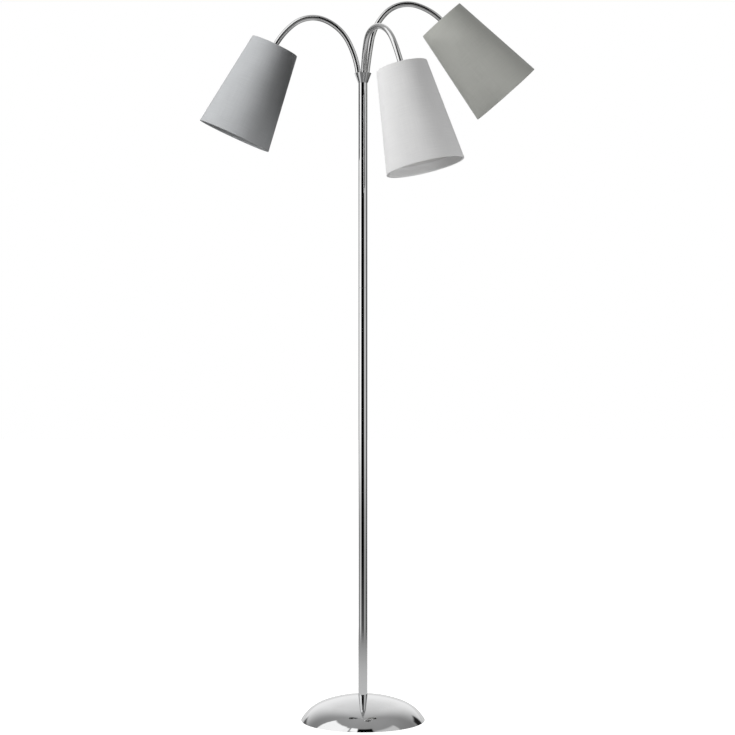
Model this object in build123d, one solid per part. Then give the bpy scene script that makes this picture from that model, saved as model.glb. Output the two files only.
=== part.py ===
"""Tree floor lamp: a weighted dome, a three-section pole and three gooseneck arms with cone shades.

Millimetres, +Z up. The origin is the centre of the base's underside, on the floor. +X is the
right-hand side of the lamp seen from the front, and +Y points to its back. Every solid is one
real piece, or a group of identical small pieces, in its own STEP file.
"""
import os
from math import acos, cos, radians, sin, sqrt, tan

from build123d import *

# ---- driving dimensions -------------------------------------------------------------------------

# running and seating clearances
SLIDE = 0.05          # radial play of a thread or a pressed bush in its hole
SKIN_GAP = 0.15       # between shade layers
JOINT_GAP = 0.1       # between a gooseneck ball and its cup, and under the turning first link
END_GAP = 0.2         # between the faces of the turning first link and its root fitting

# base
FOOT_THICKNESS = 2.5
FOOT_GAP = 9.5                  # from the pad's edge out to the dome's sheet
DOME_HEIGHT = 52.0
DOME_CROWN_RADIUS = 246.0       # radius of the flat crown's arc
DOME_SHOULDER_RADIUS = 83.0     # radius of the rounded shoulder's arc
DOME_SHOULDER_START = 20.6      # degrees from vertical where crown turns into shoulder
DOME_RIM_Z = 1.0
DOME_SHEET = 1.2
DOME_SEAT_DEPTH = 0.2           # flat ground on the crown for the pole
WEIGHT_GAP = 6.0                # from the weight's edge out to the dome's sheet
WEIGHT_CHAMFER = 2.0
WEIGHT_EDGE_Z = 14.0
WEIGHT_SHOULDER = 5.0           # width and height of the slope above the edge
WEIGHT_TOP_Z = 22.0
WEIGHT_DRAFT = 2.0              # rise of the upper face towards the middle
WEIGHT_BOSS_RADIUS = 14.0
WEIGHT_BOSS_FOOT = (3.0, 6.0)   # width and height of the boss's sloped foot
WEIGHT_BOSS_GAP = 0.5           # below the dome's sheet
WEIGHT_RECESS_RADIUS = 18.0
WEIGHT_RECESS_DEPTH = 11.5
WASHER_RADIUS = 15.0
WASHER_THICKNESS = 2.0
NUT_FLATS = 17.0
NUT_THICKNESS = 5.0
CORD_BORE = 6.2                 # diameter of the lead's hole in the bush
CORD_BUSH_DIAMETER = 9.0
CORD_BUSH_LENGTH = 16.0
CORD_BUSH_NOSE = 3.6            # how far it stands out of the dome
CORD_BUSH_LIP = 12.5
CORD_BUSH_LIP_THICKNESS = 1.0
CORD_CHANNEL_PLAY = 0.5         # that the weight's channel is wider than the bush

# hollow M10 thread that clamps base, pole and hub
THREAD_RADIUS = 4.95
THREAD_BORE = 3.5
BUSH_LENGTH = 14.0
BUSH_SINK = 0.2                 # how far a bush is pressed in below its tube's end
STUD_ENGAGEMENT = 13.5

# pole
POLE_RADIUS = 9.5
POLE_WALL = 1.0
POLE_LENGTHS = (423.5, 425.7, 427.5)    # lower, middle, upper tube
POLE_EDGE = 0.4                 # bevel on the outer edge of a tube's ends

# hub
HUB_HEIGHT = 19.6
HUB_FLANGE = 1.0                # that the hub's lower end is wider than the pole
HUB_SHEET = 0.85                # wall, measured level
HUB_FLOOR = 1.6
HUB_PLATE_THICKNESS = 4.0
HUB_PLATE_DROP = 4.5            # plate's upper face below the hub's rim
HUB_NIPPLE_NECK = 3.95          # radius of the nipple's M8 end
HUB_NIPPLE_BORE = 2.8
SOCKET_SPACING = 2.1            # between the nipple and a gooseneck's shank, on the hub's rim plane
SOCKET_TILT = 8.0               # outward lean of each socket
SOCKET_LIFT = 0.5               # height of the first link above the rim

# gooseneck: four links with a ball and a cup between them
LINK_LENGTH = 70.3
NECK_RADIUS = 6.0               # over the ribs
NECK_BORE = 4.0
RIB_PITCH = 3.0
RIB_DEPTH = 0.7
RIB_RAMP = 0.3                  # length of the step from a plain end down to the first valley
BORE_STEPS = 10
RIB_SHAPE = ((0.0, False), (0.25, True), (0.6, True), (0.85, False))    # share of the pitch, on the crest
BALL_WAIST_DEPTH = 0.8          # of the waist before a ball, below the ribs' crests
BALL_WAIST_LENGTH = 5.0

# end fittings
SHANK_RADIUS = 3.95             # M8 shank in the hub plate
SHANK_LENGTH = 7.0
ROOT_COLLAR_STEP = 0.2          # that the root's collar is narrower than the neck
COLLAR_GAP = 0.15               # between the root's collar and the hub's wall
SPIGOT_RADIUS = 4.25            # pin of an end fitting inside the gooseneck's end
SPIGOT_LENGTH = 6.0
SPIGOT_ROOM = 0.5               # past the pin's end
FITTING_BORE = 2.6
TIP_COLLAR_LENGTH = 6.0
TIP_THREAD_LENGTH = 10.0

# E14 lampholder, measured down the shade's axis from the gooseneck's end
HOLDER_CAP_RADIUS = 11.0
HOLDER_CAP_LENGTH = 14.0
HOLDER_CAP_SLOPE = (4.0, 3.0)   # width and height of the cap's upper slope
HOLDER_FLANGE_LIP = 2.0         # that the flange is wider than the skirt
HOLDER_FLANGE_THICKNESS = 2.5
HOLDER_FLANGE_SLOPE = 3.0
HOLDER_WALL = 5.8               # of the skirt
HOLDER_SKIRT_LENGTH = 27.5
CONTACT_SHELL_WALL = 0.6
CONTACT_SHELL_LENGTH = 19.0
CONTACT_ROOM = 3.0              # behind the bulb's tip
FITTER_HUB_THICKNESS = 1.5
FITTER_HUB_WIDTH = 4.0          # of the ring around the skirt
SHADE_RING_WIDTH = 4.5
SHADE_RING_LENGTH = 7.0

# E14 globe bulb
CAP_RADIUS = 6.95
CAP_PLAY = 0.6                  # of the cap's thread in the contact shell
CAP_LENGTH = 22.4
CAP_TIP_LENGTH = 2.6
CAP_TIP_RADIUS = 2.4
GLOBE_RADIUS = 22.5
GLOBE_NECK_RADIUS = 8.0
GLOBE_NECK_RISE = 3.0
GLOBE_MEET = 0.8                # of the globe's radius above its centre, where the neck meets it
BULB_LENGTH = 77.0
GLASS_WALL = 0.8

# shade: a truncated cone, with its small end towards the gooseneck
SHADE_HEIGHT = 205.9
SHADE_TOP_RADIUS = 51.6
SHADE_BOTTOM_RADIUS = 79.1
SHADE_TOP_RISE = 10.0           # the shade's top plane lies this far above the gooseneck's end
FABRIC_THICKNESS = 0.5
LINER_THICKNESS = 0.7
WIRE_RADIUS = 1.5
SPOKE_RADIUS = 1.25
SPOKES = 3
SPOKE_OFFSET = 0.25             # of the angle between spokes, from the bending axis to the first one

# how each arm is bent at rest: where its socket sits around the hub and where the arm heads
# (degrees counter-clockwise from +X seen from above), then for each link how far it bends, and
# how far the plane of the bend has turned about the neck since the link before
ARMS = {
    "left": dict(
        socket=160.0, heading=181.1, bends=(19.7, 39.7, 58.9, 30.1), turns=(0.0, -9.4, -4.4, 12.8)),
    "middle": dict(
        socket=-80.0, heading=-80.6, bends=(43.8, 49.4, 52.6, 21.5), turns=(0.0, 27.3, -16.7, 14.8)),
    "right": dict(
        socket=40.0, heading=8.8, bends=(3.5, 34.5, 65.6, 31.6), turns=(0.0, -2.5, -11.5, 31.6)),
}

# ---- places that follow from the sizes ----------------------------------------------------------

def dome_edge_radius(z):
    """Outer radius of the dome's shoulder at a height."""
    lean = radians(DOME_SHOULDER_START)
    offset = DOME_CROWN_RADIUS - DOME_SHOULDER_RADIUS
    centre_z = DOME_HEIGHT - DOME_CROWN_RADIUS + offset * cos(lean)
    return offset * sin(lean) + sqrt(DOME_SHOULDER_RADIUS ** 2 - (z - centre_z) ** 2)


def slope(inner, outer, run):
    """How much a radius grows for each millimetre of run."""
    return (outer - inner) / run


FOOT_RADIUS = dome_edge_radius(DOME_RIM_Z) - DOME_SHEET - FOOT_GAP
WEIGHT_RADIUS = dome_edge_radius(WEIGHT_EDGE_Z) - DOME_SHEET - WEIGHT_GAP
CORD_CHANNEL = CORD_BUSH_DIAMETER + CORD_CHANNEL_PLAY
CORD_Z = FOOT_THICKNESS + CORD_BUSH_DIAMETER / 2

POLE_FOOT_Z = DOME_HEIGHT - DOME_SEAT_DEPTH
JOINT_ONE_Z = POLE_FOOT_Z + POLE_LENGTHS[0]
JOINT_TWO_Z = JOINT_ONE_Z + POLE_LENGTHS[1]
POLE_TOP_Z = JOINT_TWO_Z + POLE_LENGTHS[2]
HUB_RIM_Z = POLE_TOP_Z + HUB_HEIGHT
HUB_PLATE_TOP_Z = HUB_RIM_Z - HUB_PLATE_DROP
THREAD_HOLE = THREAD_RADIUS + SLIDE
WEIGHT_CEILING_Z = FOOT_THICKNESS + WEIGHT_RECESS_DEPTH
CUP_RADIUS = NECK_RADIUS + JOINT_GAP
CUP_LENGTH = SPIGOT_LENGTH + SPIGOT_ROOM

ROOT_COLLAR_RADIUS = NECK_RADIUS - ROOT_COLLAR_STEP
SOCKET_PITCH_RADIUS = HUB_NIPPLE_NECK + SOCKET_SPACING + SHANK_RADIUS
SOCKET_REACH = (SOCKET_PITCH_RADIUS - HUB_PLATE_DROP * tan(radians(SOCKET_TILT))
                + ROOT_COLLAR_RADIUS / cos(radians(SOCKET_TILT)))
HUB_BOTTOM_RADIUS = POLE_RADIUS + HUB_FLANGE
HUB_GROWTH = slope(HUB_BOTTOM_RADIUS, SOCKET_REACH + COLLAR_GAP + HUB_SHEET, HUB_HEIGHT - HUB_PLATE_DROP)
HUB_TOP_RADIUS = HUB_BOTTOM_RADIUS + HUB_GROWTH * HUB_HEIGHT

HOLDER_BORE = CAP_RADIUS + CAP_PLAY + CONTACT_SHELL_WALL + SLIDE
HOLDER_SKIRT_RADIUS = HOLDER_BORE + HOLDER_WALL
HOLDER_TOP = TIP_COLLAR_LENGTH
FLANGE_TOP = HOLDER_TOP + HOLDER_CAP_LENGTH
FLANGE_BOTTOM = FLANGE_TOP + HOLDER_FLANGE_THICKNESS
HOLDER_BOTTOM = FLANGE_BOTTOM + HOLDER_SKIRT_LENGTH
CAP_MOUTH = HOLDER_BOTTOM
CAP_TIP = CAP_MOUTH - CAP_LENGTH


# ---- helpers ------------------------------------------------------------------------------------

def cylinder(radius, bottom, top):
    """Upright cylinder on the Z axis between two heights."""
    return Pos(0, 0, bottom) * Cylinder(radius, top - bottom, align=(Align.CENTER, Align.CENTER, Align.MIN))


def tube(radius, bore, bottom, top):
    """Upright tube on the Z axis between two heights."""
    return cylinder(radius, bottom, top) - cylinder(bore, bottom - 1, top + 1)


def turned(*points):
    """Solid of revolution about Z through corner points given as (radius, height)."""
    corners = [(radius, 0, height) for radius, height in points]
    return revolve(make_face(Polyline(*corners, close=True)), Axis.Z)


def place(frame, solid):
    """A solid drawn on the Z axis, moved onto a frame of the arm."""
    return frame.location * solid


# ---- base ---------------------------------------------------------------------------------------

def dome_face(inset):
    """Region under the dome's profile, drawn on XZ and inset by a sheet's thickness."""
    crown = DOME_CROWN_RADIUS - inset
    shoulder = DOME_SHOULDER_RADIUS - inset
    crown_z = DOME_HEIGHT - DOME_CROWN_RADIUS
    lean = radians(DOME_SHOULDER_START)
    offset = DOME_CROWN_RADIUS - DOME_SHOULDER_RADIUS
    centre_r = offset * sin(lean)
    centre_z = crown_z + offset * cos(lean)
    foot = acos((DOME_RIM_Z - centre_z) / shoulder)

    def on_crown(angle):
        return (crown * sin(angle), 0, crown_z + crown * cos(angle))

    def on_shoulder(angle):
        return (centre_r + shoulder * sin(angle), 0, centre_z + shoulder * cos(angle))

    apex = on_crown(0)
    tangent = on_crown(lean)
    rim = on_shoulder(foot)
    profile = [
        ThreePointArc(apex, on_crown(lean / 2), tangent),
        ThreePointArc(tangent, on_shoulder((lean + foot) / 2), rim),
        Line(rim, (0, 0, DOME_RIM_Z)),
        Line((0, 0, DOME_RIM_Z), apex),
    ]
    return make_face(profile)


def dome_solid(inset):
    """The dome's outline as a full body, inset evenly from the outside."""
    return revolve(dome_face(inset), Axis.Z)


def cord_axis(radius, start, end):
    """Cylinder along +Y at the lead's height."""
    return Pos(0, start, CORD_Z) * Rot(-90, 0, 0) * cylinder(radius, 0, end - start)


def make_dome():
    shell = dome_solid(0) - dome_solid(DOME_SHEET)
    shell -= cylinder(2 * POLE_RADIUS, POLE_FOOT_Z, DOME_HEIGHT + 1)
    shell -= cylinder(THREAD_HOLE + SLIDE, 0, DOME_HEIGHT + 1)
    return shell - cord_axis(CORD_BUSH_DIAMETER / 2 + SLIDE, WEIGHT_RADIUS, 2 * WEIGHT_RADIUS)


def make_weight():
    boss_top = DOME_HEIGHT - DOME_SHEET - WEIGHT_BOSS_GAP
    foot_width, foot_height = WEIGHT_BOSS_FOOT
    body = turned(
        (THREAD_HOLE + SLIDE, WEIGHT_CEILING_Z), (WEIGHT_RECESS_RADIUS, WEIGHT_CEILING_Z),
        (WEIGHT_RECESS_RADIUS, FOOT_THICKNESS), (WEIGHT_RADIUS - WEIGHT_CHAMFER, FOOT_THICKNESS),
        (WEIGHT_RADIUS, FOOT_THICKNESS + WEIGHT_CHAMFER), (WEIGHT_RADIUS, WEIGHT_EDGE_Z - WEIGHT_SHOULDER),
        (WEIGHT_RADIUS - WEIGHT_SHOULDER, WEIGHT_EDGE_Z), (WEIGHT_RADIUS / 2, WEIGHT_TOP_Z - WEIGHT_DRAFT),
        (WEIGHT_BOSS_RADIUS + foot_width, WEIGHT_TOP_Z), (WEIGHT_BOSS_RADIUS, WEIGHT_TOP_Z + foot_height),
        (WEIGHT_BOSS_RADIUS, boss_top), (THREAD_HOLE + SLIDE, boss_top))
    channel_height = CORD_Z + CORD_CHANNEL / 2 - FOOT_THICKNESS
    channel = Pos(0, WEIGHT_RADIUS / 2 + WEIGHT_BOSS_RADIUS / 2, FOOT_THICKNESS) * Box(
        CORD_CHANNEL, WEIGHT_RADIUS, channel_height, align=(Align.CENTER, Align.CENTER, Align.MIN))
    return body - channel


def make_cord_bush():
    outer_end = dome_edge_radius(CORD_Z) + CORD_BUSH_NOSE
    body = cord_axis(CORD_BUSH_DIAMETER / 2, outer_end - CORD_BUSH_LENGTH, outer_end)
    grown = dome_solid(-SLIDE - CORD_BUSH_LIP_THICKNESS) - dome_solid(-SLIDE)
    lip = grown & cord_axis(CORD_BUSH_LIP / 2, WEIGHT_RADIUS, 2 * WEIGHT_RADIUS)
    floor_cut = Box(4 * WEIGHT_RADIUS, 4 * WEIGHT_RADIUS, 2 * DOME_RIM_Z)
    return body + lip - cord_axis(CORD_BORE / 2, WEIGHT_RADIUS / 2, 2 * WEIGHT_RADIUS) - floor_cut


def make_nut():
    bottom = WEIGHT_CEILING_Z - WASHER_THICKNESS - NUT_THICKNESS
    hexagon = RegularPolygon(NUT_FLATS / 2, 6, major_radius=False)
    nut = Pos(0, 0, bottom) * extrude(hexagon, NUT_THICKNESS)
    return nut - cylinder(THREAD_HOLE, 0, DOME_HEIGHT)


def base_nodes():
    ceiling = WEIGHT_CEILING_Z
    return {
        "foot_pad": cylinder(FOOT_RADIUS, 0, FOOT_THICKNESS),
        "base_dome": make_dome(),
        "base_weight": make_weight(),
        "cord_bush": make_cord_bush(),
        "base_washer": tube(WASHER_RADIUS, THREAD_HOLE + SLIDE, ceiling - WASHER_THICKNESS, ceiling),
        "base_nut": make_nut(),
        "base_stud": tube(THREAD_RADIUS, THREAD_BORE, FOOT_THICKNESS + 2, POLE_FOOT_Z + STUD_ENGAGEMENT),
    }


# ---- pole ---------------------------------------------------------------------------------------

def make_pole_tube(bottom, top):
    """Tube with a fine bevel round both ends, which leaves a thin groove where two tubes meet."""
    bore = POLE_RADIUS - POLE_WALL
    return turned(
        (bore, bottom), (POLE_RADIUS - POLE_EDGE, bottom), (POLE_RADIUS, bottom + POLE_EDGE),
        (POLE_RADIUS, top - POLE_EDGE), (POLE_RADIUS - POLE_EDGE, top), (bore, top))


def pole_nodes():
    levels = (POLE_FOOT_Z, JOINT_ONE_Z, JOINT_TWO_Z, POLE_TOP_Z)
    nodes = {}
    bushes = []
    for name, bottom, top in zip(("lower", "middle", "upper"), levels, levels[1:]):
        nodes[f"pole_tube_{name}"] = make_pole_tube(bottom, top)
        for low in (bottom + BUSH_SINK, top - BUSH_LENGTH - BUSH_SINK):
            bushes.append(tube(POLE_RADIUS - POLE_WALL - SLIDE, THREAD_HOLE, low, low + BUSH_LENGTH))
    nodes["pole_bushes"] = Compound(children=bushes)
    studs = [tube(THREAD_RADIUS, THREAD_BORE, z - STUD_ENGAGEMENT, z + STUD_ENGAGEMENT)
             for z in (JOINT_ONE_Z, JOINT_TWO_Z)]
    nodes["pole_studs"] = Compound(children=studs)
    return nodes


# ---- hub ----------------------------------------------------------------------------------------

def hub_inner_radius(z):
    """Inside radius of the hub's cone at a height."""
    return HUB_BOTTOM_RADIUS + HUB_GROWTH * (z - POLE_TOP_Z) - HUB_SHEET


def socket_frame(arm):
    """Where a gooseneck starts: Z along the neck, X along the axis that it first bends about."""
    around = radians(arm["socket"])
    heading = radians(arm["heading"])
    out = Vector(cos(around), sin(around), 0)
    along = out * sin(radians(SOCKET_TILT)) + Vector(0, 0, cos(radians(SOCKET_TILT)))
    start = out * SOCKET_PITCH_RADIUS + Vector(0, 0, HUB_RIM_Z) + along * SOCKET_LIFT
    bend_axis = along.cross(Vector(cos(heading), sin(heading), 0)).normalized()
    return Plane(origin=start, x_dir=bend_axis, z_dir=along)


def make_hub_cup():
    floor_z = POLE_TOP_Z + HUB_FLOOR
    return turned(
        (THREAD_HOLE + SLIDE, POLE_TOP_Z), (HUB_BOTTOM_RADIUS, POLE_TOP_Z), (HUB_TOP_RADIUS, HUB_RIM_Z),
        (hub_inner_radius(HUB_RIM_Z), HUB_RIM_Z), (hub_inner_radius(floor_z), floor_z),
        (THREAD_HOLE + SLIDE, floor_z))


def make_hub_plate():
    bottom_z = HUB_PLATE_TOP_Z - HUB_PLATE_THICKNESS
    plate = turned(
        (0, bottom_z), (hub_inner_radius(bottom_z) - SLIDE, bottom_z),
        (hub_inner_radius(HUB_PLATE_TOP_Z) - SLIDE, HUB_PLATE_TOP_Z), (0, HUB_PLATE_TOP_Z))
    plate -= cylinder(HUB_NIPPLE_NECK + SLIDE, bottom_z - 1, HUB_PLATE_TOP_Z + 1)
    for arm in ARMS.values():
        plate -= place(socket_frame(arm), cylinder(SHANK_RADIUS + SLIDE, -2 * HUB_HEIGHT, 0))
    return plate


def hub_nodes():
    shoulder_z = POLE_TOP_Z + HUB_FLOOR
    nipple = tube(THREAD_RADIUS, HUB_NIPPLE_BORE, POLE_TOP_Z - STUD_ENGAGEMENT, shoulder_z)
    nipple += tube(HUB_NIPPLE_NECK, HUB_NIPPLE_BORE, shoulder_z, HUB_PLATE_TOP_Z)
    return {"hub_cup": make_hub_cup(), "hub_plate": make_hub_plate(), "hub_nipple": nipple}


# ---- gooseneck arms -----------------------------------------------------------------------------

def advance(frame, length, bend):
    """The frame further along a neck that bends evenly about its own X by this many degrees."""
    half = radians(bend) / 2
    chord = length * (sin(half) / half if half else 1)
    hinge = Axis((0, 0, 0), frame.x_dir)
    origin = frame.origin + frame.z_dir.rotate(hinge, bend / 2) * chord
    return Plane(origin=origin, x_dir=frame.x_dir, z_dir=frame.z_dir.rotate(hinge, bend))


def turned_frame(frame, turn):
    """The same place with the axis of bending turned about the neck."""
    neck = Axis((0, 0, 0), frame.z_dir)
    return Plane(origin=frame.origin, x_dir=frame.x_dir.rotate(neck, turn), z_dir=frame.z_dir)


def link_frames(arm):
    """Start frame of each link, and the frame at the gooseneck's end."""
    frame = socket_frame(arm)
    frames = []
    for bend, turn in zip(arm["bends"], arm["turns"]):
        frame = turned_frame(frame, turn)
        frames.append(frame)
        frame = advance(frame, LINK_LENGTH, bend)
    return frames + [frame]


def link_stations(first, last):
    """Distances along a link with the outer radius there: plain ends, and four circles to each rib."""
    valley = NECK_RADIUS - RIB_DEPTH
    waist = NECK_RADIUS - BALL_WAIST_DEPTH
    low = CUP_LENGTH + RIB_RAMP
    high = LINK_LENGTH - (CUP_LENGTH + RIB_RAMP if last else BALL_WAIST_LENGTH)
    stations = [(END_GAP if first else 0, NECK_RADIUS), (CUP_LENGTH, NECK_RADIUS)]
    ribs = round((high - low) / RIB_PITCH)
    pitch = (high - low) / ribs
    for rib in range(ribs):
        for share, crest in RIB_SHAPE:
            stations.append((low + pitch * (rib + share), NECK_RADIUS if crest else valley))
    stations.append((high, valley))
    if last:
        return stations + [(LINK_LENGTH - CUP_LENGTH, NECK_RADIUS), (LINK_LENGTH, NECK_RADIUS)]
    return stations + [(high + RIB_RAMP, waist), (LINK_LENGTH - NECK_RADIUS / 3, waist)]


def rings_along(start, bend, stations):
    """Circles square to a link at the given distances, all on the link's own X axis."""
    rings = []
    for distance, radius in stations:
        rings.append(advance(start, distance, bend * distance / LINK_LENGTH) * Circle(radius))
    return rings


def link_bore(start, bend):
    """Hollow of a link, run on straight past both ends."""
    past = 2 * CUP_LENGTH
    steps = [(LINK_LENGTH * step / BORE_STEPS, NECK_BORE) for step in range(BORE_STEPS + 1)]
    before = advance(start, -past, 0) * Circle(NECK_BORE)
    after = advance(advance(start, LINK_LENGTH, bend), past, 0) * Circle(NECK_BORE)
    return loft([before] + rings_along(start, bend, steps) + [after], ruled=True)


def make_link(start, bend, first, last):
    """One stiff length of gooseneck, with a cup or a plain seat below and a ball or a seat above."""
    end = advance(start, LINK_LENGTH, bend)
    body = loft(rings_along(start, bend, link_stations(first, last)), ruled=True)
    if not last:
        body += place(end, Sphere(NECK_RADIUS))
    if not first:
        body -= place(start, Sphere(CUP_RADIUS))
    body -= link_bore(start, bend)
    if first:
        body -= place(start, cylinder(SPIGOT_RADIUS + JOINT_GAP, -1, CUP_LENGTH))
    if last:
        body -= place(end, cylinder(SPIGOT_RADIUS + SLIDE, -CUP_LENGTH, 1))
    return body


def make_root_fitting(frame):
    """Threaded end of a gooseneck, seated flat on the hub plate, with the pin that the neck turns on."""
    fitting = cylinder(ROOT_COLLAR_RADIUS, -2 * HUB_PLATE_DROP, 0)
    fitting += cylinder(SPIGOT_RADIUS, -1, SPIGOT_LENGTH)
    collar = place(frame, fitting) - cylinder(2 * HUB_TOP_RADIUS, 0, HUB_PLATE_TOP_Z)
    shank = cylinder(SHANK_RADIUS, -HUB_PLATE_DROP - SHANK_LENGTH, 0)
    return collar + place(frame, shank) - place(frame, cylinder(FITTING_BORE, -HUB_HEIGHT, 2 * SPIGOT_LENGTH))


def make_tip_fitting():
    """Threaded end at the shade, drawn on the Z axis from the gooseneck's end."""
    fitting = cylinder(SPIGOT_RADIUS, -SPIGOT_LENGTH, 1)
    fitting += cylinder(NECK_RADIUS, 0, TIP_COLLAR_LENGTH)
    fitting += cylinder(THREAD_RADIUS, TIP_COLLAR_LENGTH - 1, TIP_COLLAR_LENGTH + TIP_THREAD_LENGTH)
    return fitting - cylinder(FITTING_BORE, -2 * SPIGOT_LENGTH, HOLDER_BOTTOM)


# ---- lampholder and bulb ------------------------------------------------------------------------

def make_lampholder():
    chamber_top = HOLDER_TOP + TIP_THREAD_LENGTH
    chamber_bottom = CAP_TIP - CONTACT_ROOM
    flange = HOLDER_SKIRT_RADIUS + HOLDER_FLANGE_LIP
    slope_width, slope_height = HOLDER_CAP_SLOPE
    return turned(
        (THREAD_HOLE, HOLDER_TOP), (HOLDER_CAP_RADIUS - slope_width, HOLDER_TOP),
        (HOLDER_CAP_RADIUS, HOLDER_TOP + slope_height), (HOLDER_CAP_RADIUS, FLANGE_TOP - HOLDER_FLANGE_SLOPE),
        (flange, FLANGE_TOP), (flange, FLANGE_BOTTOM), (HOLDER_SKIRT_RADIUS, FLANGE_BOTTOM),
        (HOLDER_SKIRT_RADIUS, HOLDER_BOTTOM), (HOLDER_BORE, HOLDER_BOTTOM), (HOLDER_BORE, chamber_bottom),
        (THREAD_HOLE, chamber_top))


def make_contacts():
    """Brass screw shell and the sprung centre contact above the bulb's tip."""
    outer = HOLDER_BORE - SLIDE
    shell = tube(outer, outer - CONTACT_SHELL_WALL, CAP_TIP, CAP_TIP + CONTACT_SHELL_LENGTH)
    floor_top = CAP_TIP - JOINT_GAP
    floor_disc = cylinder(outer, floor_top - CONTACT_SHELL_WALL, floor_top)
    return Compound(children=[shell, floor_disc])


def make_bulb_cap():
    return turned(
        (0, CAP_TIP), (CAP_TIP_RADIUS, CAP_TIP), (CAP_RADIUS, CAP_TIP + CAP_TIP_LENGTH),
        (CAP_RADIUS, CAP_MOUTH), (0, CAP_MOUTH))


def bulb_body(inset):
    """Glass globe with its neck, inset evenly for the hollow."""
    radius = GLOBE_RADIUS - inset
    centre_z = CAP_TIP + BULB_LENGTH - GLOBE_RADIUS
    neck = GLOBE_NECK_RADIUS - inset
    meet_z = centre_z - GLOBE_RADIUS * GLOBE_MEET
    return Pos(0, 0, centre_z) * Sphere(radius) + turned(
        (0, CAP_MOUTH), (CAP_RADIUS - inset, CAP_MOUTH), (neck, CAP_MOUTH + GLOBE_NECK_RISE),
        (sqrt(radius ** 2 - (centre_z - meet_z) ** 2), meet_z), (0, meet_z))


def make_bulb():
    return bulb_body(0) - bulb_body(GLASS_WALL)


# ---- shade --------------------------------------------------------------------------------------

SHADE_GROWTH = slope(SHADE_TOP_RADIUS, SHADE_BOTTOM_RADIUS, SHADE_HEIGHT)
WIRE_INSET = FABRIC_THICKNESS + LINER_THICKNESS + 2 * SKIN_GAP + WIRE_RADIUS


def shade_radius(depth, inset):
    """Radius of the shade's cone at a depth below its top plane, inset square to the wall."""
    return SHADE_TOP_RADIUS + SHADE_GROWTH * depth - inset * sqrt(1 + SHADE_GROWTH ** 2)


def cone_layer(inset, thickness, top=0.0, bottom=SHADE_HEIGHT):
    """Conical sheet between two depths, with its outside inset from the shade's outside."""
    inner = inset + thickness
    corners = []
    for depth, skin in ((top, inset), (bottom, inset), (bottom, inner), (top, inner)):
        corners.append((shade_radius(depth, skin), depth - SHADE_TOP_RISE))
    return turned(*corners)


def wire_ring(depth):
    """Ring of frame wire that lies inside the liner at a depth."""
    return Pos(0, 0, depth - SHADE_TOP_RISE) * Torus(shade_radius(depth, WIRE_INSET), WIRE_RADIUS)


def make_fitter():
    """Recessed ring for the lampholder, three spokes and the shade's top ring, welded together."""
    hub_z = FLANGE_BOTTOM + JOINT_GAP
    inner = HOLDER_SKIRT_RADIUS + 2 * JOINT_GAP
    outer = HOLDER_SKIRT_RADIUS + FITTER_HUB_WIDTH
    fitter = wire_ring(WIRE_RADIUS) + tube(outer, inner, hub_z, hub_z + FITTER_HUB_THICKNESS)
    start = Vector(outer - SPOKE_RADIUS / 2, 0, hub_z + FITTER_HUB_THICKNESS / 2)
    end = Vector(shade_radius(WIRE_RADIUS, WIRE_INSET), 0, WIRE_RADIUS - SHADE_TOP_RISE)
    run = end - start
    for spoke in range(SPOKES):
        rod = Plane(origin=start, z_dir=run).location * cylinder(SPOKE_RADIUS, 0, run.length)
        fitter += Rot(0, 0, 360 * (spoke + SPOKE_OFFSET) / SPOKES) * rod
    return fitter


def make_shade_ring():
    top = FLANGE_BOTTOM + 2 * JOINT_GAP + FITTER_HUB_THICKNESS
    outer = HOLDER_SKIRT_RADIUS + SHADE_RING_WIDTH
    return tube(outer, HOLDER_SKIRT_RADIUS + SLIDE, top, top + SHADE_RING_LENGTH)


def arm_nodes(name, arm):
    """Every piece of one arm, from its threaded root to the bulb."""
    frames = link_frames(arm)
    nodes = {f"{name}_root_fitting": make_root_fitting(frames[0])}
    last = len(arm["bends"]) - 1
    for link, bend in enumerate(arm["bends"]):
        nodes[f"{name}_neck_{link + 1}"] = make_link(frames[link], bend, link == 0, link == last)
    head = {
        "tip_fitting": make_tip_fitting(),
        "lampholder": make_lampholder(),
        "socket_contacts": make_contacts(),
        "shade_ring": make_shade_ring(),
        "shade_fitter": make_fitter(),
        "shade_fabric": cone_layer(0, FABRIC_THICKNESS),
        "shade_liner": cone_layer(FABRIC_THICKNESS + SKIN_GAP, LINER_THICKNESS),
        "shade_bottom_ring": wire_ring(SHADE_HEIGHT - WIRE_RADIUS),
        "bulb_cap": make_bulb_cap(),
        "bulb_glass": make_bulb(),
    }
    for piece, solid in head.items():
        nodes[f"{name}_{piece}"] = place(frames[-1], solid)
    return nodes


# ---- whole lamp ---------------------------------------------------------------------------------

def all_nodes():
    nodes = base_nodes() | pole_nodes() | hub_nodes()
    for name, arm in ARMS.items():
        nodes |= arm_nodes(name, arm)
    return nodes


def main():
    os.makedirs("parts", exist_ok=True)
    nodes = all_nodes()
    for name, solid in nodes.items():
        export_step(solid, f"parts/{name}.step")
    for name, arm in ARMS.items():
        for number, frame in enumerate(link_frames(arm)):
            print(name, "frame", number, "at", tuple(round(v, 3) for v in frame.origin),
                  "along", tuple(round(v, 5) for v in frame.z_dir), "bends about",
                  tuple(round(v, 5) for v in frame.x_dir))
    print(len(nodes), "nodes")


main()
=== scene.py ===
"""Looks of the tree floor lamp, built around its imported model.

Metres, in the model's own frame: +X right, +Y to the back, +Z up, with the origin under the base.
The goosenecks and the shades' cloth are modelled here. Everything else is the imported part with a
finish of its own. The studio is what the chrome mirrors: a pale floor and large soft panels.
"""
from math import cos, pi, radians, sin, sqrt

import bpy
from mathutils import Matrix, Vector


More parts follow.
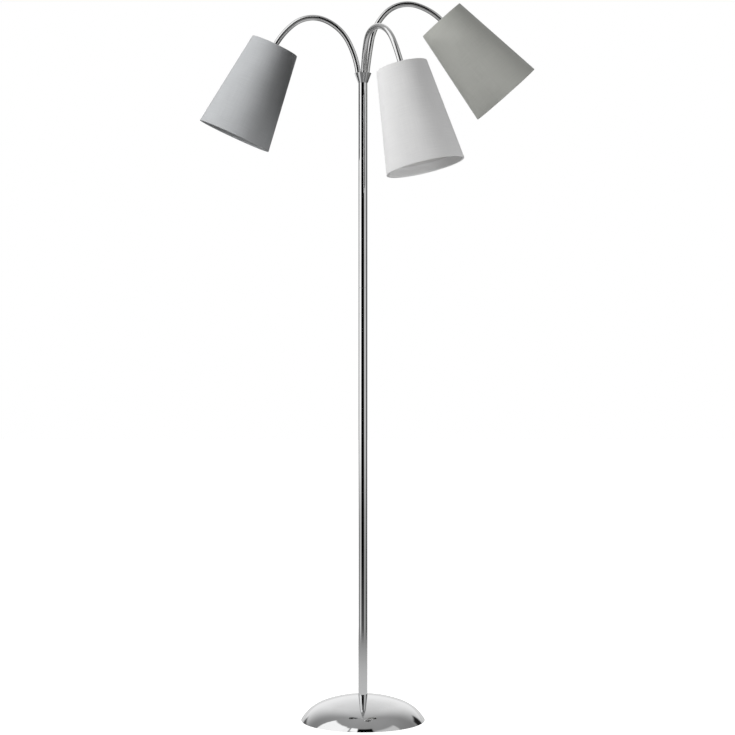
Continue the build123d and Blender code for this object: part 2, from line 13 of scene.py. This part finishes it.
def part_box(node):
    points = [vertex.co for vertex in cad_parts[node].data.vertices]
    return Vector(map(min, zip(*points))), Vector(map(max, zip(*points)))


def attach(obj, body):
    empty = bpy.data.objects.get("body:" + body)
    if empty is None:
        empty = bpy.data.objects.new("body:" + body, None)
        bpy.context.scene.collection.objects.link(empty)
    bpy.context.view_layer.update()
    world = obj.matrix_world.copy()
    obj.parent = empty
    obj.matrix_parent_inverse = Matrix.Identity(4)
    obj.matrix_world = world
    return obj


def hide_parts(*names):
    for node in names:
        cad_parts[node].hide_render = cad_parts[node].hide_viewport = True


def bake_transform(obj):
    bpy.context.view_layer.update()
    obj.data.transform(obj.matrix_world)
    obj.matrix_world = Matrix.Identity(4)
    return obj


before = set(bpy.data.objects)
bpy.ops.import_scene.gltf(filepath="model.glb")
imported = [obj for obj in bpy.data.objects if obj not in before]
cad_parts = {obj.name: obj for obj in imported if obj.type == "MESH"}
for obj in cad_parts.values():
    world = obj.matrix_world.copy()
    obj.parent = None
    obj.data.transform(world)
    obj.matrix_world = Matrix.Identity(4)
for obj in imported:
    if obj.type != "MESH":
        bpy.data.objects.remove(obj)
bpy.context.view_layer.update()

# ---- sizes --------------------------------------------------------------------------------------

# goosenecks: where each arm's socket and first bend face, and how its four links bend and turn at
# rest, in degrees
ARMS = {
    "left": dict(
        socket=160.0, heading=181.1,
        bends=(19.7, 39.7, 58.9, 30.1), turns=(0.0, -9.4, -4.4, 12.8)),
    "middle": dict(
        socket=-80.0, heading=-80.6,
        bends=(43.8, 49.4, 52.6, 21.5), turns=(0.0, 27.3, -16.7, 14.8)),
    "right": dict(
        socket=40.0, heading=8.8,
        bends=(3.5, 34.5, 65.6, 31.6), turns=(0.0, -2.5, -11.5, 31.6)),
}
LINK_LENGTH = 0.0703
SOCKET_PITCH_RADIUS = 0.010
SOCKET_TILT = radians(8.0)
SOCKET_LIFT = 0.0005
NECK_RADIUS = 0.006
NECK_BORE = 0.004
NECK_END_GAP = 0.0002
PLAIN_END = 0.0062              # smooth length at both ends of a gooseneck
COIL_PITCH = 0.0034             # from turn to turn of the wound wire
COIL_DEPTH = 0.0008             # from the crest of a turn to the groove
COIL_FLATNESS = 8               # exponent of a turn's rounded section, flatter as it grows
COIL_FADE = 0.0015              # over which the turns run out into a plain end
COIL_RINGS = 12                 # circles for each turn
COIL_SIDES = 40
COIL_SHARP = radians(70)        # edges that turn by more aren't shaded smooth
BLEND_REACH = 0.028             # reach each side of a joint, whose points are worked out but not used

# shades
SHADE_HEIGHT = 0.2059
SHADE_TOP_RADIUS = 0.0516
SHADE_BOTTOM_RADIUS = 0.0791
SHADE_TOP_RISE = 0.010          # the top plane lies this far above the gooseneck's end
CLOTH = 0.0005
LINER = 0.0007
SKIN_GAP = 0.00015              # between the layers
HEM_CREASE = 0.0008             # radius of the outer crease where the cloth folds over a ring
HEM_ROLL = 0.0016               # radius of the fold's inner side
HEM_WIDTH = 0.0052              # from the cloth's outside to the far side of the fold
HEM_LIFT = 0.0006               # that the fold stands past the ring
HEM_DROP = 0.0036               # straight inner side of the fold, beside the ring
HEM_TUCK = 0.018                # how far the cloth is turned in
HEM_STEPS = 5                   # straight pieces in each rounded corner
WALL_ROWS = (0.04, 0.25, 0.5, 0.75, 0.96)       # of points down the wall, as shares of its height
SEAM_WIDTH = 0.010
SEAM_STEP = 0.00045             # thickness that the overlap adds
SEAM_FOOT = 0.0015              # angle over which its step rises
SHADE_SIDES = 192
CLOTH_SHARP = radians(40)
THREAD_PITCH = 0.0006
SLUB_ALONG = 22.0               # scale of the uneven threads' noise along them
SLUB_ACROSS = 900.0             # and across them

# camera, as the photograph was framed
CAMERA_PLACE = (0.0095, -3.619, 0.735)
CAMERA_LENS = 85.0


# ---- meshes -------------------------------------------------------------------------------------

def make_object(name, points, faces, material, sharp=radians(50)):
    """A smooth-shaded mesh, with the edges sharp that turn by more than an angle."""
    mesh = bpy.data.meshes.new(name)
    mesh.from_pydata(points, [], faces)
    mesh.validate()
    mesh.polygons.foreach_set("use_smooth", [True] * len(mesh.polygons))
    mesh.set_sharp_from_angle(angle=sharp)
    mesh.materials.append(material)
    made = bpy.data.objects.new(name, mesh)
    bpy.context.scene.collection.objects.link(made)
    return made


def ring_faces(rings, sides):
    """Quads between neighbouring rings of equally many points, and from the last to the first."""
    faces = []
    for ring in range(rings):
        low = ring * sides
        high = (ring + 1) % rings * sides
        for side in range(sides):
            after = (side + 1) % sides
            faces.append((low + side, low + after, high + after, high + side))
    return faces


# ---- goosenecks ---------------------------------------------------------------------------------

def step(length, bend):
    """Move along a neck that bends evenly about its own X, as a local matrix."""
    half = bend / 2
    chord = length * (sin(half) / half if half else 1)
    moved = Matrix.Translation((0, -chord * sin(half), chord * cos(half)))
    return moved @ Matrix.Rotation(bend, 4, "X")


def socket_place(arm):
    """Where a gooseneck starts: Z along the neck, X along the axis that it first bends about."""
    around = radians(arm["socket"])
    heading = radians(arm["heading"])
    out = Vector((cos(around), sin(around), 0))
    along = out * sin(SOCKET_TILT) + Vector((0, 0, cos(SOCKET_TILT)))
    rim = Vector((0, 0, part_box("hub_cup")[1].z))
    across = along.cross(Vector((cos(heading), sin(heading), 0))).normalized()
    turned = Matrix((across, along.cross(across), along)).transposed().to_4x4()
    return Matrix.Translation(out * SOCKET_PITCH_RADIUS + rim + along * SOCKET_LIFT) @ turned


class Neck:
    """Centre line of one gooseneck: four even bends in a row."""

    def __init__(self, arm):
        self.bends = [radians(bend) for bend in arm["bends"]]
        self.starts = []
        self.turned = []
        place = socket_place(arm)
        total = 0.0
        for bend, turn in zip(self.bends, arm["turns"]):
            total += radians(turn)
            place = place @ Matrix.Rotation(radians(turn), 4, "Z")
            self.starts.append(place)
            self.turned.append(total)
            place = place @ step(LINK_LENGTH, bend)
        self.end = place
        self.length = LINK_LENGTH * len(self.bends)

    def place(self, distance):
        """Place at a distance along the neck, without the turns of the bending axis."""
        link = min(int(distance / LINK_LENGTH), len(self.bends) - 1)
        past = distance - link * LINK_LENGTH
        local = step(past, self.bends[link] * past / LINK_LENGTH)
        return self.starts[link] @ local @ Matrix.Rotation(-self.turned[link], 4, "Z")

    def point(self, distance):
        return self.place(distance).translation


def coil_groove(distance, angle, length):
    """How deep a point lies in the groove between two turns, from 0 on a flattened crest to 1."""
    phase = (distance / COIL_PITCH - angle / (2 * pi)) % 1
    off_crest = abs(2 * phase - 1)
    groove = 1 - (1 - off_crest ** COIL_FLATNESS) ** (1 / COIL_FLATNESS)
    from_end = min(distance, length - distance) - PLAIN_END
    strength = min(max(from_end / COIL_FADE, 0), 1)
    return groove * strength


def neck_piece(name, neck, start, end, material):
    """A closed stretch of the wound tube, with its bore."""
    count = round((end - start) / COIL_PITCH * COIL_RINGS)
    stations = [start + (end - start) * ring / count for ring in range(count + 1)]
    points = []
    grooves = []
    for distance in stations:
        place = neck.place(distance)
        for side in range(COIL_SIDES):
            angle = 2 * pi * side / COIL_SIDES
            grooves.append(coil_groove(distance, angle, neck.length))
            radius = NECK_RADIUS - COIL_DEPTH * grooves[-1]
            points.append(place @ Vector((radius * cos(angle), radius * sin(angle), 0)))
    bore = stations[::-COIL_RINGS]
    if bore[-1] != start:
        bore.append(start)
    for distance in bore:
        place = neck.place(distance)
        for side in range(COIL_SIDES):
            angle = 2 * pi * side / COIL_SIDES
            points.append(place @ Vector((NECK_BORE * cos(angle), NECK_BORE * sin(angle), 0)))
    faces = ring_faces(len(stations) + len(bore), COIL_SIDES)
    piece = make_object(name, points, faces, material, COIL_SHARP)
    grooves += [0.0] * (len(points) - len(grooves))
    piece.data.attributes.new("Groove", "FLOAT", "POINT").data.foreach_set("value", grooves)
    return piece


def make_goosenecks(name, neck, material):
    """Three stretches for an arm, each spanning one joint, and meeting midway between them."""
    joints = [LINK_LENGTH * number for number in (1, 2, 3)]
    seams = [NECK_END_GAP, 1.5 * LINK_LENGTH, 2.5 * LINK_LENGTH, neck.length]
    stands_for = ([f"{name}_neck_1"], [f"{name}_neck_2", f"{name}_neck_3"], [f"{name}_neck_4"])
    parts = zip(("lower", "crown", "upper"), joints, stands_for)
    for number, (part, joint, nodes) in enumerate(parts):
        start, end = seams[number:number + 2]
        piece = neck_piece(f"{name}_gooseneck_{part}", neck, start, end, material)
        neck.point(joint - BLEND_REACH)
        neck.point(joint + BLEND_REACH)
        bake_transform(piece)
        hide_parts(*nodes)


# ---- shades -------------------------------------------------------------------------------------

GROWTH = (SHADE_BOTTOM_RADIUS - SHADE_TOP_RADIUS) / SHADE_HEIGHT
LEAN = sqrt(1 + GROWTH ** 2)                    # slant length for each unit of height
APEX = SHADE_TOP_RADIUS / GROWTH * LEAN         # from the cone's apex down the slant to the top
FOLD = GROWTH / LEAN                            # the cone's angle laid flat, for each unit around


def shade_radius(depth, inset):
    return SHADE_TOP_RADIUS + GROWTH * depth - inset * LEAN


def hem_corner(centre, radius, first, last):
    """Rounded corner as (depth, inset) between two angles, counted from upward to inward."""
    angles = (first + (last - first) * count / HEM_STEPS for count in range(HEM_STEPS + 1))
    return [(centre[0] - radius * cos(radians(angle)), centre[1] + radius * sin(radians(angle)))
            for angle in angles]


def hem_profile():
    """The fold over the upper ring, from the outer wall to the turned-in edge."""
    outer = hem_corner((HEM_CREASE - HEM_LIFT, HEM_CREASE), HEM_CREASE, -90, 0)
    inner = hem_corner((HEM_ROLL - HEM_LIFT, HEM_WIDTH - HEM_ROLL), HEM_ROLL, 0, 90)
    glued = 2 * CLOTH + LINER + 2 * SKIN_GAP
    inside = [(HEM_DROP, HEM_WIDTH), ((HEM_DROP + HEM_TUCK) / 2, glued), (HEM_TUCK, glued)]
    return outer + inner + inside


def cloth_profile():
    """Visible side of the cloth, from one turned-in edge over the wall to the other."""
    top = hem_profile()
    bottom = [(SHADE_HEIGHT - depth, inset) for depth, inset in top]
    wall = [(SHADE_HEIGHT * share, 0.0) for share in WALL_ROWS]
    return top[::-1] + wall + bottom


def thicken(outside):
    """The outline with its second side, one cloth's thickness in from the first."""
    inside = []
    for index, (depth, inset) in enumerate(outside):
        before = outside[max(index - 1, 0)]
        after = outside[min(index + 1, len(outside) - 1)]
        run = (after[0] - before[0], after[1] - before[1])
        size = sqrt(run[0] ** 2 + run[1] ** 2)
        inside.append((depth - run[1] / size * CLOTH, inset + run[0] / size * CLOTH))
    return outside + inside[::-1]


def seam_rise(angle):
    """How much the overlap lifts the cloth: a step on one side, fading to nothing on the other."""
    width = SEAM_WIDTH / SHADE_BOTTOM_RADIUS
    if not 0 <= angle <= width:
        return 0.0
    return SEAM_STEP * (1 - angle / width)


def make_cloth(name, place, material):
    """The shade's woven skin: a cone rolled over both rings, with a glued seam at the back."""
    outline = thicken(cloth_profile())
    back = place.to_3x3().transposed() @ Vector((0, 1, 0))
    seam = Vector((back.x, back.y)).angle_signed(Vector((1, 0)))
    angles = [2 * pi * side / SHADE_SIDES for side in range(SHADE_SIDES)]
    angles.insert(0, -SEAM_FOOT)
    points = []
    flat = []
    for depth, inset in outline:
        for angle in angles:
            lift = seam_rise(angle) if inset < CLOTH else 0.0
            radius = shade_radius(depth, inset) + lift
            turned = angle + seam
            along = depth - SHADE_TOP_RISE
            points.append(place @ Vector((radius * cos(turned), radius * sin(turned), along)))
            slant = APEX + depth * LEAN
            laid = (angle - pi) * FOLD
            flat.append((slant * sin(laid), slant * cos(laid)))
    faces = [tuple(reversed(face)) for face in ring_faces(len(outline), len(angles))]
    piece = make_object(name, points, faces, material, CLOTH_SHARP)
    threads = piece.data.uv_layers.new(name="Threads")
    for corner, loop in enumerate(piece.data.loops):
        threads.data[corner].uv = flat[loop.vertex_index]
    return piece


# ---- shader helpers -----------------------------------------------------------------------------

class Graph:
    """Short calls that add and join shader nodes in one tree."""

    def __init__(self, tree):
        self.tree = tree
        tree.nodes.clear()

    def feed(self, node, socket, value):
        """Joins a node's input to another output, or sets its number or colour."""
        if isinstance(value, bpy.types.NodeSocket):
            self.tree.links.new(value, node.inputs[socket])
        else:
            node.inputs[socket].default_value = value

    def node(self, kind, *inputs, **settings):
        made = self.tree.nodes.new("ShaderNode" + kind)
        for setting, value in settings.items():
            setattr(made, setting, value)
        for socket, value in enumerate(inputs):
            self.feed(made, socket, value)
        return made

    def place(self):
        """Place of a point in its object."""
        return self.node("TexCoord").outputs["Object"]

    def math(self, operation, *inputs):
        return self.node("Math", *inputs, operation=operation).outputs[0]

    def summed(self, first, first_share, second, second_share):
        """Sum of two numbers, each times its share."""
        return self.math("ADD", self.math("MULTIPLY", first, first_share),
                         self.math("MULTIPLY", second, second_share))

    def scaled(self, vector, factors):
        return self.node("VectorMath", vector, factors, operation="MULTIPLY").outputs[0]

    def length(self, vector):
        return self.node("VectorMath", vector, operation="LENGTH").outputs["Value"]

    def spread(self, value, low, high, to_low=0.0, to_high=1.0, smooth=False):
        """Maps a range of one value to another range, held at both ends."""
        kind = "SMOOTHSTEP" if smooth else "LINEAR"
        inputs = (value, low, high, to_low, to_high)
        return self.node("MapRange", *inputs, interpolation_type=kind).outputs[0]

    def noise(self, vector, scale, detail=2.0, roughness=0.5):
        made = self.node("TexNoise")
        self.feed(made, "Vector", vector)
        self.feed(made, "Scale", scale)
        self.feed(made, "Detail", detail)
        self.feed(made, "Roughness", roughness)
        return made.outputs[0]

    def mixed(self, share, first, second):
        """Colour between two others."""
        made = self.node("Mix", data_type="RGBA")
        self.feed(made, 0, share)
        self.feed(made, 6, first)
        self.feed(made, 7, second)
        return made.outputs[2]

    def blended(self, share, first, second):
        """Number between two others."""
        made = self.node("Mix", data_type="FLOAT")
        self.feed(made, 0, share)
        self.feed(made, 2, first)
        self.feed(made, 3, second)
        return made.outputs[0]

    def bump(self, height, strength, distance):
        made = self.node("Bump")
        self.feed(made, "Strength", strength)
        self.feed(made, "Distance", distance)
        self.feed(made, "Height", height)
        return made.outputs[0]

    def surface(self, **sockets):
        """Principled shader with the named sockets fed, joined to the material's output."""
        shader = self.node("BsdfPrincipled")
        for socket, value in sockets.items():
            self.feed(shader, socket.replace("_", " "), value)
        self.node("OutputMaterial", shader.outputs[0])


def colour(red, green, blue):
    return (red, green, blue, 1.0)


def grey(level, warmth=0.0):
    """A linear colour near grey, warmer or cooler by a share."""
    return colour(level * (1 + warmth), level, level * (1 - warmth))


def new_material(name):
    material = bpy.data.materials.new("look_" + name)
    material.use_nodes = True
    return material, Graph(material.node_tree)


# ---- materials ----------------------------------------------------------------------------------

METAL_GRAIN = 900.0             # scale of the noise that ripples a metal
METAL_RIPPLE = 0.000004
# dirt and painted shade, darkening the grooves between the coil's turns
GROOVE_DIRT_AND_SHADE = grey(0.08)              # in the grooves of a coil

METALS = {
    "chrome": dict(dark=grey(0.66), light=grey(0.72, -0.005), rough=0.025, rough_worn=0.07),
    "neck_chrome": dict(
        dark=grey(0.68), light=grey(0.76), rough=0.03, rough_worn=0.07, dirty_shaded_grooves=True),
    "zinc_steel": dict(
        dark=grey(0.38, 0.03), light=grey(0.50, 0.01), rough=0.30, rough_worn=0.48, ripple=0.00002),
    "brass": dict(
        dark=colour(0.55, 0.38, 0.13), light=colour(0.72, 0.52, 0.22), rough=0.18, rough_worn=0.35),
    "cap_aluminium": dict(dark=grey(0.55), light=grey(0.68), rough=0.25, rough_worn=0.4),
}
MOULDED = {
    "cast_iron": dict(
        dark=grey(0.018), light=grey(0.045, 0.02), rough=0.7, grain=500.0, height=0.0004),
    "black_rubber": dict(
        dark=grey(0.008), light=grey(0.022), rough=0.55, grain=1200.0, height=0.00008),
    "holder_plastic": dict(dark=grey(0.62, 0.02), light=grey(0.72, 0.02), rough=0.38),
    "white_wire": dict(
        dark=grey(0.68, 0.01), light=grey(0.78, 0.01), rough=0.32, grain=900.0, coat=0.3),
    "shade_lining": dict(
        dark=grey(0.62, 0.01), light=grey(0.72, 0.01), rough=0.5, grain=700.0, height=0.00006),
}
WOVEN = {
    "left_fabric": dict(dark=colour(0.425, 0.435, 0.445), light=colour(0.50, 0.512, 0.523)),
    "middle_fabric": dict(dark=grey(0.76), light=grey(0.84, 0.003)),
    "right_fabric": dict(dark=colour(0.46, 0.465, 0.435), light=colour(0.54, 0.545, 0.51)),
}


def metal(name, dark, light, rough, rough_worn, ripple=METAL_RIPPLE, dirty_shaded_grooves=False):
    """Metal with faint smudges and a very slight ripple, with dirt and painted shade darkening a
    coil's grooves if asked.
    """
    material, graph = new_material(name)
    place = graph.place()
    smudge = graph.noise(place, scale=14.0, detail=4.0, roughness=0.6)
    fine = graph.noise(place, scale=METAL_GRAIN)
    tone = graph.mixed(graph.spread(smudge, 0.45, 0.75), light, dark)
    if dirty_shaded_grooves:
        # painted shade, with some dirt: the colour darkens by how deep each point lies in a groove
        groove = graph.node("Attribute", attribute_name="Groove").outputs["Fac"]
        tone = graph.mixed(graph.spread(groove, 0.05, 0.5), tone, GROOVE_DIRT_AND_SHADE)
    graph.surface(
        Base_Color=tone, Metallic=1.0,
        Roughness=graph.spread(smudge, 0.35, 0.8, rough, rough_worn),
        Normal=graph.bump(fine, strength=0.25, distance=ripple))
    return material


def moulded(name, dark, light, rough, grain=1600.0, height=0.00004, coat=0.0):
    """Cast iron, plastic, paint or rubber: a mottled colour under a fine grain."""
    material, graph = new_material(name)
    place = graph.place()
    patch = graph.noise(place, scale=30.0, detail=3.0)
    fine = graph.noise(place, scale=grain)
    graph.surface(
        Base_Color=graph.mixed(patch, dark, light), Coat_Weight=coat,
        Roughness=graph.spread(patch, 0.3, 0.7, rough * 0.85, rough * 1.15),
        Normal=graph.bump(fine, strength=0.4, distance=height))
    return material


def woven(name, dark, light):
    """Plain-woven cloth: warp and weft cross over and under, with slubs along the threads and
    painted shade where they dip.
    """
    material, graph = new_material(name)
    threads = graph.node("UVMap", uv_map="Threads").outputs[0]
    split = graph.node("SeparateXYZ", graph.scaled(threads, (pi / THREAD_PITCH,) * 3)).outputs
    warp = graph.math("SINE", split[0])
    weft = graph.math("SINE", split[1])
    over = graph.spread(graph.math("MULTIPLY", warp, weft), -0.4, 0.4)
    under = graph.math("SUBTRACT", 1.0, over)
    height = graph.summed(graph.math("ABSOLUTE", warp), over, graph.math("ABSOLUTE", weft), under)
    slub_weft = graph.noise(graph.scaled(threads, (SLUB_ALONG, SLUB_ACROSS, 1.0)), scale=1.0)
    slub_warp = graph.noise(graph.scaled(threads, (SLUB_ACROSS, SLUB_ALONG, 1.0)), scale=1.0)
    cloudy = graph.noise(threads, scale=18.0, detail=3.0)
    slubs = graph.summed(slub_weft, 0.6, slub_warp, 0.4)
    tone = graph.summed(slubs, 0.75, cloudy, 0.25)
    # painted shade: the cloth is darker where the threads dip between their crossings
    hollow_shade = graph.spread(height, 0.0, 0.7, 0.75, 1.0)
    shade = graph.math("MULTIPLY", graph.spread(tone, 0.34, 0.66), hollow_shade)
    rise = graph.math("ADD", height, graph.math("MULTIPLY", slubs, 1.2))
    graph.surface(
        Base_Color=graph.mixed(shade, dark, light), Roughness=0.85, Specular_IOR_Level=0.25,
        Sheen_Weight=0.15, Sheen_Roughness=0.4,
        Normal=graph.bump(rise, strength=0.35, distance=0.00012))
    return material


def felt(name):
    """Pressed felt: matted fibres over a dark ground."""
    material, graph = new_material(name)
    place = graph.place()
    fibres = graph.noise(place, scale=700.0, detail=6.0, roughness=0.7)
    clumps = graph.noise(place, scale=60.0, detail=3.0)
    tone = graph.math("MULTIPLY", fibres, graph.spread(clumps, 0.3, 0.7, 0.7, 1.0))
    graph.surface(
        Base_Color=graph.mixed(tone, grey(0.006), grey(0.05)), Roughness=0.95,
        Sheen_Weight=0.3, Normal=graph.bump(fibres, strength=0.7, distance=0.0004))
    return material


def opal_glass(name):
    """White-coated bulb glass, a little translucent, with a clear gloss."""
    material, graph = new_material(name)
    coat = graph.noise(graph.place(), scale=45.0, detail=3.0)
    graph.surface(
        Base_Color=graph.mixed(coat, grey(0.80, 0.01), grey(0.88, 0.01)),
        Transmission_Weight=0.15, Roughness=graph.spread(coat, 0.3, 0.7, 0.10, 0.16),
        Coat_Weight=0.6)
    return material


def all_materials():
    """A material for each slot of the record."""
    made = {name: metal(name, **look) for name, look in METALS.items()}
    made.update((name, moulded(name, **look)) for name, look in MOULDED.items())
    made.update((name, woven(name, **look)) for name, look in WOVEN.items())
    made["felt_pad"] = felt("felt_pad")
    made["bulb_glass"] = opal_glass("bulb_glass")
    return made


def dress_cad_nodes(materials):
    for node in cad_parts.values():
        for slot in node.material_slots:
            slot.material = materials[slot.material.name]


# ---- studio -------------------------------------------------------------------------------------

# What the chrome mirrors, as soft upright panels around the lamp, in degrees. Around is 0 in front
# and positive to the picture's right, and up counts from level. Soft is half the width of the
# blurred edge, and level the brightness. A later panel lies over an earlier one.
PANELS = {
    "left softbox": dict(around=(-103, -46), up=(-4, 60), soft=2, level=1.25),
    "left softbox's front": dict(around=(-50, -36), up=(14, 58), soft=2, level=1.2),
    "left softbox's glow below": dict(around=(-74, -46), up=(-90, -4), soft=4, level=0.85),
    "right softbox": dict(around=(29, 84), up=(-5, 51), soft=3, level=0.70),
    "right softbox's glow below": dict(around=(29, 66), up=(-90, -5), soft=4, level=0.45),
    "dark studio": dict(around=(-36, 29), up=(-9, 40), soft=3, level=0.0),
    "dark above the camera": dict(around=(-13, 25), up=(36, 59), soft=2, level=0.0),
    "small lamp": dict(around=(-32, -14), up=(50, 60), soft=1.5, level=1.3),
    "dark right wing": dict(around=(94, 142), up=(-30, 8), soft=5, level=0.08),
    "dark right wing's upper end": dict(around=(127, 143), up=(8, 26), soft=3, level=0.02),
    "dark left wing": dict(around=(-148, -110), up=(7, 15), soft=3, level=0.12),
    "pale floor behind": dict(around=(-190, -118), up=(-16, -4), soft=3, level=0.9),
}
FRONT_LEVELS = (0.26, 0.42)     # of the room in front, from low down to overhead
BACK_LEVELS = (0.82, 1.05, 0.44)        # of the wall behind: low, above it, and overhead
BELOW_LEVEL = 0.22              # below the level of the lamp, past the floor's mirrored disc
OVERHEAD_RANGE = (20.0, 90.0)   # degrees up over which the room takes its overhead level
WALL_RANGE = (7.0, 12.0)        # degrees up over which the wall behind brightens
BELOW_RANGE = (-14.0, -5.0)     # degrees up from the level below to the room
BACK_RANGE = (115.0, 165.0)     # degrees around from the room in front to the wall behind
WORLD_ON_CLOTH = 0.27           # share of the panels' light that falls on matt surfaces

FLOOR_HALF = 14.0
FLOOR_GLOWS = (0.85, 1.0)       # the floor's own light beside the lamp and far out
FLOOR_GLOW_RANGE = (1.0, 4.0)
MIRRORED_HALF = 1.5
MIRRORED_HEIGHT = 0.0002
MIRRORED_REACH = 1.1            # distance at which it is half as bright as at the lamp
MIRRORED_LEVEL = 0.66
MIRRORED_FADE_RANGE = (0.95, 1.35)

LIGHTS = {
    "key": dict(place=(-1.30, -0.78, 1.85), target=(0, 0, 1.35), size=0.7, power=19.0),
    "right bounce": dict(place=(1.20, -0.95, 0.65), target=(0, 0, 1.35), size=0.7, power=11.0),
    "left bounce": dict(place=(-0.95, -0.90, 0.35), target=(0, 0, 1.35), size=0.7, power=5.0),
    "overhead": dict(place=(0, 0.4, 3.2), target=(0, 0, 0), size=2.5, power=14.0),
}


def soft_cover(graph, value, low, high, soft):
    """1 between two values, falling to 0 over a soft edge on both sides."""
    rises = graph.spread(value, low - soft, low + soft, smooth=True)
    falls = graph.spread(value, high - soft, high + soft, 1.0, 0.0, smooth=True)
    return graph.math("MULTIPLY", rises, falls)


def studio_world():
    """Room of soft panels for the chrome, and plain white for what the camera sees of it."""
    world = bpy.data.worlds.new("studio")
    world.use_nodes = True
    bpy.context.scene.world = world
    graph = Graph(world.node_tree)
    ray = graph.node("SeparateXYZ", graph.node("TexCoord").outputs["Generated"]).outputs
    forward = graph.math("MULTIPLY", ray[1], -1.0)
    around = graph.math("DEGREES", graph.math("ARCTAN2", ray[0], forward))
    up = graph.math("DEGREES", graph.math("ARCSINE", ray[2]))
    low, wall, overhead = BACK_LEVELS
    front = graph.spread(up, *OVERHEAD_RANGE, *FRONT_LEVELS)
    raised = graph.spread(up, *WALL_RANGE, low, wall, smooth=True)
    back = graph.math("ADD", raised, graph.spread(up, *OVERHEAD_RANGE, 0.0, overhead - wall))
    backness = graph.spread(graph.math("ABSOLUTE", around), *BACK_RANGE, smooth=True)
    level = graph.blended(backness, front, back)
    below = graph.spread(up, *BELOW_RANGE, 1.0, 0.0, smooth=True)
    level = graph.blended(below, level, BELOW_LEVEL)
    for panel in PANELS.values():
        wide = soft_cover(graph, around, *panel["around"], panel["soft"])
        high = soft_cover(graph, up, *panel["up"], panel["soft"])
        level = graph.blended(graph.math("MULTIPLY", wide, high), level, panel["level"])
    rays = graph.node("LightPath").outputs
    share = graph.spread(rays["Is Diffuse Ray"], 0, 1, 1.0, WORLD_ON_CLOTH)
    shown = graph.mixed(rays["Is Camera Ray"], graph.math("MULTIPLY", level, share), grey(1.0))
    graph.node("OutputWorld", graph.node("Background", shown, 1.0).outputs[0])


def add_light(name, place, target, size, power):
    """Large soft lamp that lights the shades but isn't itself mirrored."""
    light = bpy.data.lights.new(name, "AREA")
    light.energy = power
    light.size = size
    made = bpy.data.objects.new(name, light)
    made.location = place
    made.rotation_euler = (Vector(target) - Vector(place)).to_track_quat("-Z", "Y").to_euler()
    made.visible_glossy = False
    bpy.context.scene.collection.objects.link(made)


def flat_square(name, half, height, material):
    corners = [(x * half, y * half, height) for x, y in ((-1, -1), (1, -1), (1, 1), (-1, 1))]
    square = make_object(name, corners, [(0, 1, 2, 3)], material)
    return square


def make_floor():
    """Pale floor that only the camera sees: white, but for a contact shadow."""
    material, graph = new_material("floor")
    place = graph.place()
    grain = graph.spread(graph.noise(place, scale=3.0, detail=3.0), 0.3, 0.7, 0.97, 1.0)
    glow = graph.spread(graph.length(place), *FLOOR_GLOW_RANGE, *FLOOR_GLOWS, smooth=True)
    graph.surface(
        Base_Color=graph.mixed(grain, grey(0.0), grey(0.62)), Roughness=0.9,
        Emission_Color=grey(1.0), Emission_Strength=glow)
    floor = flat_square("floor", FLOOR_HALF, 0.0, material)
    floor.visible_glossy = False
    floor.visible_diffuse = False


def make_mirrored_floor():
    """What the chrome mirrors of the floor: lit around the lamp, and lost in the panels beyond."""
    material, graph = new_material("mirrored_floor")
    away = graph.length(graph.place())
    falloff = graph.math("POWER", graph.math("DIVIDE", away, MIRRORED_REACH), 3.0)
    level = graph.math("DIVIDE", MIRRORED_LEVEL, graph.math("ADD", falloff, 1.0))
    glow = graph.node("Emission", grey(1.0), level).outputs[0]
    clear = graph.node("BsdfTransparent").outputs[0]
    share = graph.spread(away, *MIRRORED_FADE_RANGE, smooth=True)
    graph.node("OutputMaterial", graph.node("MixShader", share, glow, clear).outputs[0])
    mirrored = flat_square("mirrored_floor", MIRRORED_HALF, MIRRORED_HEIGHT, material)
    mirrored.visible_camera = False
    mirrored.visible_diffuse = False
    mirrored.visible_shadow = False


def make_camera():
    camera = bpy.data.cameras.new("camera")
    camera.lens = CAMERA_LENS
    made = bpy.data.objects.new("camera", camera)
    made.location = CAMERA_PLACE
    made.rotation_euler = (pi / 2, 0, 0)
    bpy.context.scene.collection.objects.link(made)
    bpy.context.scene.camera = made


def make_studio():
    bpy.context.scene.view_settings.view_transform = "Standard"
    studio_world()
    make_floor()
    make_mirrored_floor()
    for name, light in LIGHTS.items():
        add_light(name, **light)


# ---- whole scene --------------------------------------------------------------------------------

def main():
    make_camera()
    make_studio()
    materials = all_materials()
    dress_cad_nodes(materials)
    for name, arm in ARMS.items():
        neck = Neck(arm)
        make_goosenecks(name, neck, materials["neck_chrome"])
        cloth = make_cloth(f"{name}_cloth", neck.end, materials[f"{name}_fabric"])
        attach(cloth, f"{name}_head")
        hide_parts(f"{name}_shade_fabric")


main()
